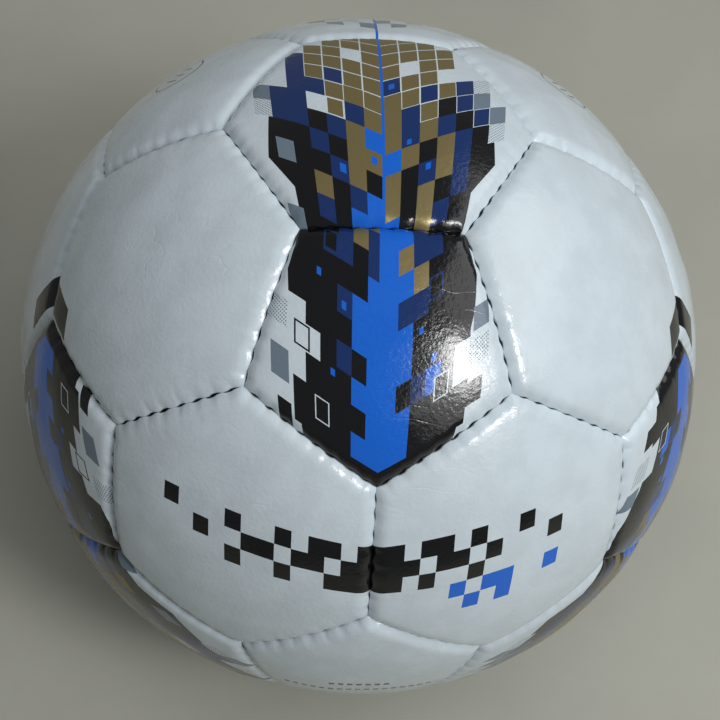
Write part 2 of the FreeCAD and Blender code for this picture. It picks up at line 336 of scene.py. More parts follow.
def skin_rings(panel, shape):
    """A panel's skin as rings of points round its outline, and how deep in the seam each ring lies, as the
    weight of the painted shade there.

    A ring is the outline drawn in towards the panel's middle, or towards the valve's hole, by a share
    that grows faster than evenly, so the rings are close together at the seam. Its height is the
    skin's, less a quarter circle at the lip. Below the lip come rings down the slit's wall, which
    closes up as it goes down, and then rings back to the middle along the skin's inside.
    """
    steps = shape.steps
    flat, s = outline(panel, steps)
    gap = np.stack([slit_width(panel, side, s[side] * SEAMS.on_panel[panel.name][side][1], shape)
                    for side in range(panel.sides)])
    flat, gap = flat.reshape(-1, 2), gap.reshape(-1)
    hole = VALVE_HOLE if panel.name == "valve_pentagon" else 0.0
    target = unit(flat) * hole
    reach = panel.reach

    def ring(inset):
        share = (inset / reach)[..., None]
        return flat * (1 - share) + target * share

    growth = 4.2
    near = NEAR_SEAM * np.expm1(np.linspace(0, 1, 19) * growth) / np.expm1(growth)
    last = 1.0 if hole else 0.985
    insets = near.tolist() + np.linspace(NEAR_SEAM, reach * last, 13)[1:].tolist()
    # the depths weigh the painted shade in the seams: most where a slit stands open and down its walls, full
    # on the skin's inside
    open_slit = np.clip((gap - 0.05) / 0.25, 0, 1)
    rings, depths, flats = [], [], []
    lip = shape.lip / MM
    for inset in insets:
        at = ring(gap + inset * (reach - gap) / reach)
        radius = skin_radius(panel, at, shape)
        radius -= lip * (1 - math.sqrt(1 - (1 - min(inset / lip, 1)) ** 2)) * np.clip(0.25 + gap / 0.15, 0, 1)
        if hole:
            radius -= 0.5 * np.clip(1 - (np.linalg.norm(at, axis=-1) - hole) / 0.5, 0, 1) ** 2
        rings.append(panel.directions(at) * radius[:, None])
        flats.append(at)
        depths.append(max(0.0, 0.45 * (1 - inset / lip)) * open_slit)
    rim = np.linalg.norm(rings[0], axis=-1)
    walls, inner = [], []
    closed_at, hairline = 2.4, 0.012
    for down in (0.15, 0.4, 0.85, 1.6, 2.8, 4.2):
        at = ring(gap * max(0.0, 1 - down / closed_at) + hairline)
        walls.append(panel.directions(at) * (rim - down)[:, None])
        flats.append(at)
        depths.append(open_slit * min(1.0, 0.5 + down) + min(1.0, down / 4))
    thick = shape.skin / MM
    at = ring(np.full(len(flat), EDGE))
    inner.append(panel.directions(at) * (BALL_RADIUS - TURNED_IN))
    flats.append(at)
    depths.append(np.ones(len(at)))
    for inset in (EDGE, 2.2, 5.0, 12.0, reach * last):
        at = ring(np.full(len(flat), inset))
        radius = skin_radius(panel, at, shape) - thick
        if inset == EDGE:
            radius -= 0.5
        inner.append(panel.directions(at) * radius[:, None])
        flats.append(at)
        depths.append(np.ones(len(at)))
    order = rings[::-1] + walls + inner
    flats = flats[:len(rings)][::-1] + flats[len(rings):]
    depths = depths[:len(rings)][::-1] + depths[len(rings):]
    return np.array(order), np.array(flats), np.array(depths), hole > 0


def ring_faces(rows, columns, closed):
    """Quads between neighbouring rings that all close on themselves, and between the last and the first ring
    where the surface closes that way too."""
    r = np.arange(rows if closed else rows - 1)[:, None]
    c = np.arange(columns)[None, :]
    after, below = (c + 1) % columns, (r + 1) % rows
    quads = np.stack([r * columns + c, below * columns + c, below * columns + after, r * columns + after], -1)
    return quads.reshape(-1, 4)


def new_mesh(name, points, quads, triangles=None):
    """A smooth mesh object at the origin from points in millimetres."""
    triangles = np.zeros((0, 3), int) if triangles is None else triangles
    mesh = bpy.data.meshes.new(name)
    mesh.vertices.add(len(points))
    mesh.vertices.foreach_set("co", (points * MM).astype(np.float32).ravel())
    corners = np.concatenate([quads.ravel(), triangles.ravel()]).astype(np.int32)
    starts = np.concatenate([np.arange(len(quads)) * 4, len(quads) * 4 + np.arange(len(triangles)) * 3])
    mesh.loops.add(len(corners))
    mesh.loops.foreach_set("vertex_index", corners)
    mesh.polygons.add(len(starts))
    mesh.polygons.foreach_set("loop_start", starts.astype(np.int32))
    mesh.polygons.foreach_set("use_smooth", np.ones(len(starts), bool))
    mesh.update(calc_edges=True)
    mesh.validate()
    piece = bpy.data.objects.new(name, mesh)
    bpy.context.scene.collection.objects.link(piece)
    return piece


def add_attribute(piece, name, kind, values):
    """Gives every point of a piece a value, for its material to read."""
    layer = piece.data.attributes.new(name, kind, "POINT")
    layer.data.foreach_set("vector" if kind == "FLOAT_VECTOR" else "value", values.astype(np.float32).ravel())


def build_skin(panel, shape):
    """One panel's skin as a closed mesh, with its flat pattern and its seam depth, the weight of the painted
    seam shade, as attributes.
    """
    rings, flats, depths, open_middle = skin_rings(panel, shape)
    rows, columns = rings.shape[:2]
    points, flat, depth = rings.reshape(-1, 3), flats.reshape(-1, 2), depths.ravel()
    quads = ring_faces(rows, columns, open_middle)
    triangles = None
    if not open_middle:
        poles = np.stack([points[:columns].mean(0), points[-columns:].mean(0)])
        points = np.vstack([points, poles])
        flat = np.vstack([flat, np.zeros((2, 2))])
        depth = np.append(depth, [0.0, 1.0])
        c = np.arange(columns)
        after = (c + 1) % columns
        top, bottom = rows * columns, rows * columns + 1
        first = np.stack([np.full(columns, top), c, after], 1)
        base = (rows - 1) * columns
        last = np.stack([np.full(columns, bottom), base + after, base + c], 1)
        triangles = np.concatenate([first, last])
    piece = new_mesh(panel.name + "_skin", points, quads, triangles)
    add_attribute(piece, "flat", "FLOAT_VECTOR", np.column_stack([flat, np.zeros(len(flat))]))
    add_attribute(piece, "depth", "FLOAT", depth)
    return piece


# ---- stitches -----------------------------------------------------------------------------------
def stitch_meshes(seams, shape):
    """Every visible stitch of some seams in one mesh: a short thread across the seam at a lean.

    Each is a tube along a shallow arch whose ends dive under the skin by the square of the distance
    from its middle, and whose radius swells with the twist of its plies."""
    stations, around = 9, 6
    sunk, arch, swell = 0.42, 0.75, 0.13
    at = np.array(seams)
    place, lean = SEAMS.place[at], SEAMS.lean[at]
    half = shape.slit / MM * SEAMS.length[at] * 1.12
    turn = place / BALL_RADIUS
    middle, along = SEAMS.middle[at][:, None], SEAMS.along[at][:, None]
    out = middle * np.cos(turn)[..., None] + along * np.sin(turn)[..., None]
    way = along * np.cos(turn)[..., None] - middle * np.sin(turn)[..., None]
    across = np.broadcast_to(SEAMS.inward[at][:, None], way.shape)
    slope = np.arctan2(lean * 0.8, shape.slit / MM)[..., None]
    run, side = way * np.cos(slope) + across * np.sin(slope), across * np.cos(slope) - way * np.sin(slope)
    u = np.linspace(-1, 1, stations)
    top = BALL_RADIUS - shape.seam_depth / MM * SEAMS.depth[at][:, None] - shape.crown / MM
    top = top - shape.pull / MM * SEAMS.pull[at] - shape.lip / MM - sunk
    path = out[:, :, None] * (top[..., None] - arch * u**2)[..., None]
    path = path + run[:, :, None] * (half[..., None] * u)[..., None]
    turns = np.linspace(0, 2 * math.pi, around, endpoint=False)
    ply = 1 + swell * np.sin(2 * turns[None] + 7.0 * u[:, None])
    thick = shape.thread / MM * ply * np.sqrt(np.clip(1.02 - u**8, 0, 1))[:, None]
    ring = side[:, :, None, None] * (np.cos(turns) * thick)[..., None]
    ring = ring + out[:, :, None, None] * (np.sin(turns) * thick)[..., None]
    points = (path[:, :, :, None] + ring).reshape(-1, stations * around, 3)
    count = len(points)
    quads = ring_faces(stations, around, False)
    caps = np.array([[0, 5, 4, 3], [0, 3, 2, 1]])
    ends = np.concatenate([caps, (caps + (stations - 1) * around)[:, ::-1]])
    one = np.concatenate([quads[:, ::-1], ends])
    faces = (one[None] + (np.arange(count) * stations * around)[:, None, None]).reshape(-1, 4)
    return points.reshape(-1, 3), faces


# ---- shader building ----------------------------------------------------------------------------
class Nodes:
    """A node tree written as calls: add gives back the new node, and the others its output."""

    def __init__(self, tree):
        self.tree = tree

    def add(self, kind, inputs=None, **settings):
        """A new node of a kind, with some inputs linked or set and some of its settings."""
        node = self.tree.nodes.new(kind)
        for name, value in settings.items():
            setattr(node, name, value)
        for name, value in (inputs or {}).items():
            self.put(node.inputs[name], value)
        return node

    def put(self, socket, value):
        """Links an output to a socket, or sets the socket's value."""
        if isinstance(value, bpy.types.NodeSocket):
            self.tree.links.new(value, socket)
        else:
            socket.default_value = value

    def math(self, operation, *values, clamp=False):
        """One operation on numbers."""
        node = self.tree.nodes.new("ShaderNodeMath")
        node.operation = operation
        node.use_clamp = clamp
        for socket, value in zip(node.inputs, values):
            self.put(socket, value)
        return node.outputs[0]

    def mix(self, factor, a, b, kind="RGBA"):
        """Goes from a to b with the factor, for colours or for numbers."""
        node = self.tree.nodes.new("ShaderNodeMix")
        node.data_type = kind
        suffix = {"RGBA": "Color", "FLOAT": "Float"}[kind]
        sockets = {s.identifier: s for s in node.inputs}
        self.put(sockets["Factor_Float"], factor)
        self.put(sockets[f"A_{suffix}"], a)
        self.put(sockets[f"B_{suffix}"], b)
        return next(s for s in node.outputs if s.identifier == f"Result_{suffix}")

    def ramp(self, value, low, high, to_low=0.0, to_high=1.0):
        """A smooth step from one value to another."""
        node = self.add("ShaderNodeMapRange", interpolation_type="SMOOTHSTEP")
        names = ("Value", "From Min", "From Max", "To Min", "To Max")
        for name, v in zip(names, (value, low, high, to_low, to_high)):
            self.put(node.inputs[name], v)
        return node.outputs[0]

    def noise(self, vector, size, detail=2.0, roughness=0.5):
        """Noise between 0 and 1 whose features are about size millimetres across."""
        node = self.add("ShaderNodeTexNoise", {"Vector": vector, "Scale": 1 / (size * MM), "Detail": detail,
                                               "Roughness": roughness})
        return node.outputs["Fac"]

    def bump(self, height, millimetres):
        """The normal of a surface raised by a height between 0 and 1 times so many millimetres."""
        node = self.add("ShaderNodeBump", {"Height": height, "Distance": millimetres * MM, "Strength": 1.0})
        return node.outputs["Normal"]


def new_group(name, inputs, outputs):
    """An empty shader group with named sockets: its tree as Nodes, its input node and its output node."""
    tree = bpy.data.node_groups.new(name, "ShaderNodeTree")
    for label, kind, default in inputs:
        socket = tree.interface.new_socket(name=label, in_out="INPUT", socket_type=kind)
        if default is not None:
            socket.default_value = default
    for label, kind in outputs:
        tree.interface.new_socket(name=label, in_out="OUTPUT", socket_type=kind)
    nodes = Nodes(tree)
    return nodes, nodes.add("NodeGroupInput"), nodes.add("NodeGroupOutput")


def grain_group():
    """Fine leather grain, slow waves and a few long creases as one normal, and a mottle between 0 and 1."""
    if "Skin grain" in bpy.data.node_groups:
        return bpy.data.node_groups["Skin grain"]
    heights = (("Grain", 0.09), ("Waves", 0.03), ("Creases", 0.035))
    n, source, result = new_group(
        "Skin grain",
        [(label, "NodeSocketFloat", height) for label, height in heights],
        [("Normal", "NodeSocketVector"), ("Mottle", "NodeSocketFloat")],
    )
    where = n.add("ShaderNodeTexCoord").outputs["Object"]
    grain = n.noise(where, 1.1, 3.0, 0.55)
    waves = n.noise(where, 3.0, 2.0, 0.55)
    bend = n.add("ShaderNodeTexNoise", {"Vector": where, "Scale": 1 / (26 * MM), "Detail": 2.0})
    shift = n.add("ShaderNodeVectorMath", operation="SCALE")
    n.put(shift.inputs[0], bend.outputs["Color"])
    n.put(shift.inputs["Scale"], 14 * MM)
    bent = n.add("ShaderNodeVectorMath", operation="ADD")
    n.put(bent.inputs[0], where)
    n.put(bent.inputs[1], shift.outputs[0])
    # creases are the contour lines of a bent noise drawn out one way, and lie in patches
    drawn = n.add("ShaderNodeMapping", {"Rotation": (0.5, 0.75, 0.2), "Scale": (0.1, 1.0, 1.0)})
    n.put(drawn.inputs["Vector"], bent.outputs[0])
    level = n.math("SUBTRACT", n.noise(drawn.outputs[0], 7.0, 1.0), 0.5)
    line = n.ramp(n.math("ABSOLUTE", level), 0.0, 0.016)
    patch = n.ramp(n.noise(where, 26.0, 1.0), 0.5, 0.66)
    crease = n.mix(patch, 1.0, line, "FLOAT")
    # the heights are in millimetres, so one bump takes them all
    height = n.math("MULTIPLY", grain, source.outputs["Grain"])
    height = n.math("MULTIPLY_ADD", waves, source.outputs["Waves"], height)
    height = n.math("MULTIPLY_ADD", crease, source.outputs["Creases"], height)
    n.put(result.inputs["Normal"], n.bump(height, 1.0))
    n.put(result.inputs["Mottle"], n.noise(where, 9.0, 3.0, 0.6))
    return n.tree


# white, black, navy, blue, gold and grey; G and N have lines between their cells, and h is dots
INKS = {"w": 0, "k": 1, "n": 2, "b": 3, "g": 4, "y": 5, "G": 4, "N": 2, "h": 5}


def rectangles(cells):
    """The cells of a map, given by letter, gathered into blocks: (letter, left, right, bottom, top)."""
    left = dict(cells)
    blocks = []
    while left:
        (c, r), ink = min(left.items())
        wide = 1
        while left.get((c + wide, r)) == ink:
            wide += 1
        tall = 1
        while all(left.get((c + i, r + tall)) == ink for i in range(wide)):
            tall += 1
        for i in range(wide):
            for j in range(tall):
                del left[(c + i, r + j)]
        blocks.append((ink, c, c + wide, r, r + tall))
    return blocks


def read_cells(rows, top):
    """A map's rows of letters from the top down as cells: 'left|right' of the centre line, '.' for none."""
    cells = {}
    for i, row in enumerate(rows):
        left, right = row.split("|")
        for c, ink in list(enumerate(left, -len(left))) + list(enumerate(right)):
            if ink != ".":
                cells[(c, top - i)] = ink
    return cells


class Lattice:
    """Slanted cells about a centre line: columns that widen upwards, rows that rise away from the line.

    It keeps each point's column and row as numbers, counted from the centre line and the start.
    """

    def __init__(self, n, flat, column, widening, row, slope, start, centre=0.0):
        split = n.add("ShaderNodeSeparateXYZ", {"Vector": flat})
        self.n, self.x, self.y = n, split.outputs["X"], split.outputs["Y"]
        if centre:
            self.x = n.math("SUBTRACT", self.x, centre)
        self.away = n.math("ABSOLUTE", self.x)
        self.column_width = n.math("MULTIPLY_ADD", self.y, widening, column)
        self.column = n.math("DIVIDE", self.x, self.column_width)
        lifted = n.math("MULTIPLY_ADD", self.away, -slope, self.y)
        self.row = n.math("DIVIDE", n.math("SUBTRACT", lifted, start), row)
        self.row_height = row

    def block(self, left, right, bottom, top):
        """Two masks, across and along, that are both 1 only inside a block of the lattice."""
        n = self.n
        across = n.math("COMPARE", self.column, (left + right) / 2, (right - left) / 2)
        return across, n.math("COMPARE", self.row, (bottom + top) / 2, (top - bottom) / 2)

    def inside_lines(self, line):
        """1 inside the cells, 0 on the lines between them."""
        n = self.n
        near_column = n.math("MULTIPLY", n.math("PINGPONG", self.column, 0.5), self.column_width)
        near_row = n.math("MULTIPLY", n.math("PINGPONG", self.row, 0.5), self.row_height)
        inside_column = n.math("GREATER_THAN", near_column, line)
        return n.math("MULTIPLY", inside_column, n.math("GREATER_THAN", near_row, line))

    def dots(self, pitch=0.95, radius=0.2):
        """1 inside staggered halftone dots."""
        n = self.n
        masks = []
        for shift in (0.0, pitch / 2):
            x = n.math("PINGPONG", n.math("ADD", self.x, shift), pitch / 2)
            y = n.math("PINGPONG", n.math("ADD", self.y, shift), pitch / 2)
            square = n.math("MULTIPLY_ADD", x, x, n.math("MULTIPLY", y, y))
            masks.append(n.math("LESS_THAN", square, radius * radius))
        return n.math("MAXIMUM", *masks)


def outline_curve(n, y, low, high, widest, points):
    """Half the width of a shape at a height, from (height, half width) points joined by straight lines."""
    node = n.add("ShaderNodeFloatCurve")
    curve = node.mapping.curves[0]
    scaled = [((h - low) / (high - low), w / widest) for h, w in points]
    curve.points[0].location, curve.points[-1].location = scaled[0], scaled[-1]
    for place in scaled[1:-1]:
        curve.points.new(*place)
    for point in curve.points:
        point.handle_type = "VECTOR"
    node.mapping.update()
    n.put(node.inputs["Value"], n.math("DIVIDE", n.math("SUBTRACT", y, low), high - low, clamp=True))
    return n.math("MULTIPLY", node.outputs[0], widest)


def print_group(name, lattice, body, cells, marks, strips, turned=False):
    """A panel's print as an ink number over its flat pattern.

    The body is a black shape given by its half width at each height and the row it stops at. Then come
    the map's cells, the strips on the centre line, and marks laid over them in lattice places."""
    inputs = [("Turn", "NodeSocketFloat", 0.0)] if turned else []
    n, source, result = new_group(name, inputs, [("Ink", "NodeSocketFloat")])
    flat = n.add("ShaderNodeAttribute", attribute_name="flat").outputs["Vector"]
    if turned:
        flat = n.add("ShaderNodeVectorRotate", {"Vector": flat, "Angle": source.outputs["Turn"]},
                     rotation_type="Z_AXIS").outputs["Vector"]
    grid = Lattice(n, flat, **lattice)
    ink = 0.0
    if body:
        half = outline_curve(n, grid.y, -42.0, 42.0, 32.0, body["half_width"])
        shape = n.math("LESS_THAN", grid.away, half)
        shape = n.math("MULTIPLY", shape, n.math("LESS_THAN", grid.row, body["top_row"]))
        ink = n.math("MULTIPLY", shape, float(INKS["k"]))
    if cells:
        lined, dotted = grid.inside_lines(0.2), grid.dots()
        sums, covered, total = {}, 0.0, 0.0
        for letter, *block in rectangles(cells):
            across, along = grid.block(*block)
            sums[letter] = n.math("MULTIPLY_ADD", across, along, sums.get(letter, 0.0))
        for letter, mask in sums.items():
            covered = n.math("ADD", covered, mask)
            value = n.math("MULTIPLY", mask, float(INKS[letter]))
            if letter in "GN":
                value = n.math("MULTIPLY", value, lined)
            if letter == "h":
                value = n.math("MULTIPLY", value, dotted)
            total = n.math("ADD", total, value)
        ink = n.mix(n.math("MINIMUM", covered, 1.0), ink, total, "FLOAT")
    for letter, middle, half, bottom, top in strips:
        across = n.math("COMPARE", grid.x, middle, half)
        along = n.math("COMPARE", grid.y, (bottom + top) / 2, (top - bottom) / 2)
        ink = n.mix(n.math("MULTIPLY", across, along), ink, float(INKS[letter]), "FLOAT")
    for letter, *block in marks:
        across, along = grid.block(*block)
        mask = n.math("MULTIPLY", across, along)
        if letter == "h":
            mask = n.math("MULTIPLY", mask, grid.dots())
        ink = n.mix(mask, ink, float(INKS[letter]), "FLOAT")
    n.put(result.inputs["Ink"], ink)
    return n.tree


def framed(letter, left, right, bottom, top, line, inner):
    """Two marks: a cell in one ink and, inside its frame, another."""
    return [(letter, left, right, bottom, top),
            (inner, left + line, right - line, bottom + line * 0.62, top - line * 0.62)]


def pentagon_print():
    """The strip's lower half: a black body with a blue middle, a few dark blue and metallic cells."""
    cells = read_cells([
        "kkkkng|bgnkkk",
        "kkkngn|bbnkkk",
        "kknnkn|bgnnkk",
        "kkkkkb|bbgkkk",
        "kkknbb|bnnkkk",
        "kkkkbb|bbkkkk",
        "kkknkb|bbkkkk",
        "kkkkbb|bknbkk",
        "kkkkkb|bbkkkk",
        "kkkkbb|bbkkkk",
    ], 9)
    marks = framed("w", -4.5, -3.5, 0.6, 1.5, 0.08, "k")
    marks += framed("n", 3.0, 4.0, 5.4, 6.3, 0.13, "k")
    marks += framed("n", -4.0, -3.0, 7.1, 8.0, 0.13, "k")
    marks += framed("w", 3.6, 4.6, 1.6, 2.5, 0.08, "k")
    marks += [
        ("b", 2.4, 2.7, 4.4, 4.65), ("b", 3.3, 3.65, 3.1, 3.45), ("b", -3.4, -3.1, 2.6, 2.85),
        ("b", -2.7, -2.4, 5.2, 5.5), ("b", -4.4, -4.1, 5.9, 6.2),
        ("w", -9.0, -5.1, 1.7, 2.8), ("w", -9.0, -4.1, 2.8, 3.8), ("w", -9.0, -5.1, 3.8, 4.6),
        ("y", -7.6, -6.3, 1.2, 2.4), ("h", -7.9, -6.4, 3.2, 4.2), ("k", -7.2, -6.2, -0.4, 0.5),
        ("w", 4.9, 7.5, 1.7, 3.2), ("k", 6.0, 7.1, 0.6, 1.5), ("y", 6.2, 7.4, 3.3, 4.2),
        ("h", 6.0, 7.4, 2.0, 3.0),
    ]
    marks += framed("k", -5.9, -4.8, 2.85, 3.75, 0.12, "w")
    return print_group(
        "Pentagon print",
        dict(column=3.55, widening=0.006, row=6.5, slope=0.63, start=-31.6),
        {"half_width": [(-42, 15.6), (-24, 18.6), (3, 21.0), (9, 22.6), (18.5, 23.6), (31, 20.8), (42, 18)],
         "top_row": 40.0},
        cells, marks, [("b", -0.5, 0.5, -5.0, 32.0)],
    )


def hexagon_print():
    """The strip's upper half: a metallic field that breaks up into dark blue and black cells."""
    cells = read_cells([
        ".....yG|G......",
        "...y.GG|GG.y...",
        "....GGG|GGG....",
        "...GGwG|GGGG...",
        "..nGGGG|GwGG...",
        "..nGNGG|NGGw...",
        "..nnGgG|gGNGnh.",
        "ynnwgng|gnGkNy.",
        "hnnkngb|gngnkNy",
        "...nkgg|bgkgn.h",
        ".y.kngk|gkngn..",
        "...gknb|gkgkn..",
        "...nkbb|bkgnk..",
        ".y.kkbg|gkgk...",
    ], 5)
    marks = framed("w", -3.0, -2.0, -2.0, -1.0, 0.1, "g")
    marks += [
        ("b", 0.35, 0.65, 0.35, 0.65), ("b", -0.7, -0.35, -3.6, -3.25), ("b", 1.3, 1.55, -2.9, -2.65),
        ("b", -2.5, -2.15, -4.6, -4.2), ("b", 2.4, 2.7, -4.4, -4.1), ("k", 3.05, 4.0, -6.0, -5.0),
    ]
    return print_group(
        "Hexagon print",
        dict(column=4.75, widening=0.02, row=6.6, slope=0.55, start=2.0),
        {"half_width": [(-42, 20.4), (-36.5, 21.2), (-26.3, 22.5), (-16, 29.4), (42, 29.4)], "top_row": -3.0},
        cells, marks, [("b", 0.0, 0.38, -42.0, 42.0)],
    )


def hub_print():
    """Three strips' fading ends, a third of a turn apart, as one ink number."""
    cells = read_cells([
        "..h.|.h..",
        ".y..|..y.",
        "y.h.|y.h.",
        ".y.y|.y..",
    ], -2)
    one = print_group(
        "Strip end",
        dict(column=5.0, widening=0.02, row=6.6, slope=0.55, start=2.0),
        None, cells, [], [("b", 0.0, 0.38, -42.0, -7.0)], turned=True,
    )
    n, _, result = new_group("Hub print", [], [("Ink", "NodeSocketFloat")])
    ink = None
    for third in range(3):
        end = n.add("ShaderNodeGroup", {"Turn": third * 2 * math.pi / 3}, node_tree=one).outputs["Ink"]
        ink = end if ink is None else n.math("MAXIMUM", ink, end)
    n.put(result.inputs["Ink"], ink)
    return n.tree


def chevron_print(name, centre):
    """One half of a plain thick chevron whose point is at the seam between two hexagons."""
    return print_group(name, dict(column=13.0, widening=0.0, row=9.0, slope=0.63, start=9.0, centre=centre),
                       None, {}, [("k", -1.0, 1.0, 0.0, 1.0)], [])


def cell_row_print(name, centre, rows):
    """A row of plain slanted cells that thins out away from the seam between two hexagons."""
    return print_group(name, dict(column=4.3, widening=0.0, row=5.2, slope=0.16, start=-11.0, centre=centre),
                       None, read_cells(rows, 2), [], [])


def dash_print():
    """Two rows of small dashes."""
    dashes = [("k", i - 0.3, i + 0.3, 0.0, 0.25) for i in range(-3, 4)]
    dashes += [("k", i - 0.3, i + 0.3, -1.0, -0.72) for i in range(-8, 9)]
    return print_group("Dashes", dict(column=2.5, widening=0.0, row=6.2, slope=0.02, start=-2.4),
                       None, {}, dashes, [])


def ring_print(name, centre):
    """A plain thin ring round three short bars, as an ink number over the flat pattern."""
    n, _, result = new_group(name, [], [("Ink", "NodeSocketFloat")])
    flat = n.add("ShaderNodeAttribute", attribute_name="flat").outputs["Vector"]
    split = n.add("ShaderNodeSeparateXYZ", {"Vector": flat})
    x = n.math("SUBTRACT", split.outputs["X"], centre[0])
    y = n.math("SUBTRACT", split.outputs["Y"], centre[1])
    distance = n.math("SQRT", n.math("MULTIPLY_ADD", x, x, n.math("MULTIPLY", y, y)))
    radius, half_line = 7.8, 0.28
    half_pitch, half_bar, half_length, bars_end = 1.5, 0.34, 3.2, 4.6
    ring = n.math("COMPARE", distance, radius, half_line)
    rows = n.math("COMPARE", n.math("PINGPONG", y, half_pitch), 0.0, half_bar)
    bar = n.math("MULTIPLY", n.math("COMPARE", x, 0.0, half_length), rows)
    bar = n.math("MULTIPLY", bar, n.math("LESS_THAN", distance, bars_end))
    n.put(result.inputs["Ink"], n.math("MAXIMUM", ring, bar))
    return n.tree


def new_material(name):
    """A material with one surface shader, its tree as Nodes, and the shader."""
    material = bpy.data.materials.new(name)
    material.use_nodes = True
    material.node_tree.nodes.clear()
    n = Nodes(material.node_tree)
    shader = n.add("ShaderNodeBsdfPrincipled")
    output = n.add("ShaderNodeOutputMaterial")
    n.tree.links.new(shader.outputs[0], output.inputs["Surface"])
    return material, n, shader


def solid(rgb):
    """A colour with no transparency."""
    return (*rgb, 1.0)


def skin_material(name, colours, ink_tree=None):
    """Glossy skin: grain, a faint mottle, painted shade down the seams with their dark cut edges and backing,
    and the print's inks where it has any.
    """
    material, n, shader = new_material(name)
    grain = n.add("ShaderNodeGroup", node_tree=grain_group())
    mottle = grain.outputs["Mottle"]
    white = np.array(colours.white)
    base = n.mix(n.ramp(mottle, 0.35, 0.65), solid(white * 0.965), solid(np.clip(white * 1.03, 0, 1)))
    rough = n.ramp(mottle, 0.3, 0.7, 0.17, 0.24)
    if ink_tree:
        ink = n.add("ShaderNodeGroup", node_tree=ink_tree).outputs["Ink"]
        inks = (colours.black, colours.navy, colours.blue, colours.gold, colours.grey)
        for number, rgb in enumerate(inks, 1):
            base = n.mix(n.math("COMPARE", ink, float(number), 0.4), base, solid(rgb))
        inked = n.math("GREATER_THAN", ink, 0.5)
        golden = n.math("COMPARE", ink, float(INKS["g"]), 0.4)
        rough = n.mix(inked, rough, n.ramp(mottle, 0.3, 0.7, 0.13, 0.2), "FLOAT")
        rough = n.mix(golden, rough, 0.36, "FLOAT")
        n.put(shader.inputs["Metallic"], n.math("MULTIPLY", golden, 0.55))
    # painted shade: dark brown down the open slits, the seam walls and the skin's inside, where shade falls;
    # partly the dark cut edges and backing
    depth = n.add("ShaderNodeAttribute", attribute_name="depth").outputs["Fac"]
    shade_and_edge = n.ramp(depth, 0.05, 0.55)
    base = n.mix(shade_and_edge, base, (0.032, 0.027, 0.021, 1.0))
    rough = n.mix(shade_and_edge, rough, 0.6, "FLOAT")
    n.put(shader.inputs["Base Color"], base)
    n.put(shader.inputs["Roughness"], rough)
    n.put(shader.inputs["Normal"], grain.outputs["Normal"])
    shader.inputs["Coat Weight"].default_value = 0.12
    shader.inputs["Coat Roughness"].default_value = 0.09
    return material


def speckled_material(name, rgb, size, low, high, bump, spread=0.15):
    """A plain material whose colour, roughness and surface vary with noise of one size."""
    material, n, shader = new_material(name)
    where = n.add("ShaderNodeTexCoord").outputs["Object"]
    fac = n.noise(where, size, 4.0, 0.6)
    rgb = np.array(rgb)
    n.put(shader.inputs["Base Color"],
          n.mix(n.ramp(fac, 0.3, 0.7), solid(rgb * (1 - spread)), solid(np.clip(rgb * (1 + spread), 0, 1))))
    n.put(shader.inputs["Roughness"], n.ramp(fac, 0.3, 0.7, low, high))
    n.put(shader.inputs["Normal"], n.bump(fac, bump))
    return material


def cloth_material(name, rgb):
    """Woven cloth: two crossing waves of the place, one mm apart, as height and shade."""
    material, n, shader = new_material(name)
    where = n.add("ShaderNodeTexCoord").outputs["Object"]
    weave = []
    for way in ("X", "Y"):
        wave = n.add("ShaderNodeTexWave", {"Vector": where, "Scale": 1 / (6.4 * MM), "Distortion": 1.0},
                     bands_direction=way)
        weave.append(wave.outputs["Fac"])
    height = n.math("MAXIMUM", *weave)
    rgb = np.array(rgb)
    n.put(shader.inputs["Base Color"], n.mix(height, solid(rgb * 0.7), solid(rgb)))
    n.put(shader.inputs["Roughness"], n.ramp(height, 0.0, 1.0, 0.95, 0.8))
    n.put(shader.inputs["Normal"], n.bump(height, 0.12))
    return material


# ---- placing ------------------------------------------------------------------------------------
def settle(piece, material, slot, *nodes):
    """Finishes a piece: its material, the body it rides on, and the nodes it stands for; its slot is not
    used.
    """
    piece.data.materials.append(material)
    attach(piece, "root")
    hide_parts(*nodes)


def dress(material, *nodes):
    """Gives carried-over nodes a material."""
    for node in nodes:
        mesh = bpy.data.objects[node].data
        mesh.materials.clear()
        mesh.materials.append(material)


def build_panels(names, material, slot):
    """Builds the skins of some panels in one material."""
    for panel in PANELS:
        if panel.name in names:
            settle(build_skin(panel, bpy.context.scene.ball_shape), material, slot, panel.name)


def numbered(kind, *numbers):
    """The names of some panels of one kind, or of all six."""
    return [f"{kind}_{i}" for i in numbers or range(1, 7)]


# ---- operators ----------------------------------------------------------------------------------
class BALL_OT_plain_panels(bpy.types.Operator):
    """Build the white pentagons with no print and those that carry a small plain mark"""
    bl_idname = "ball.plain_panels"
    bl_label = "Plain pentagons"

    def execute(self, context):
        colours = context.scene.ball_colours
        build_panels(["plain_pentagon_2", "plain_pentagon_3", "valve_pentagon"],
                     skin_material("White skin", colours), "white_skin")
        for name, side in (("plain_pentagon_1", -1), ("plain_pentagon_4", 1)):
            ring = ring_print(f"Ring, {name}", (side * 7.5, -3.4))
            build_panels([name], skin_material(f"Marked skin, {name}", colours, ring), "white_skin")
        build_panels(["front_pentagon"],
                     skin_material("Marked skin, front", colours, dash_print()), "white_skin")
        return {"FINISHED"}


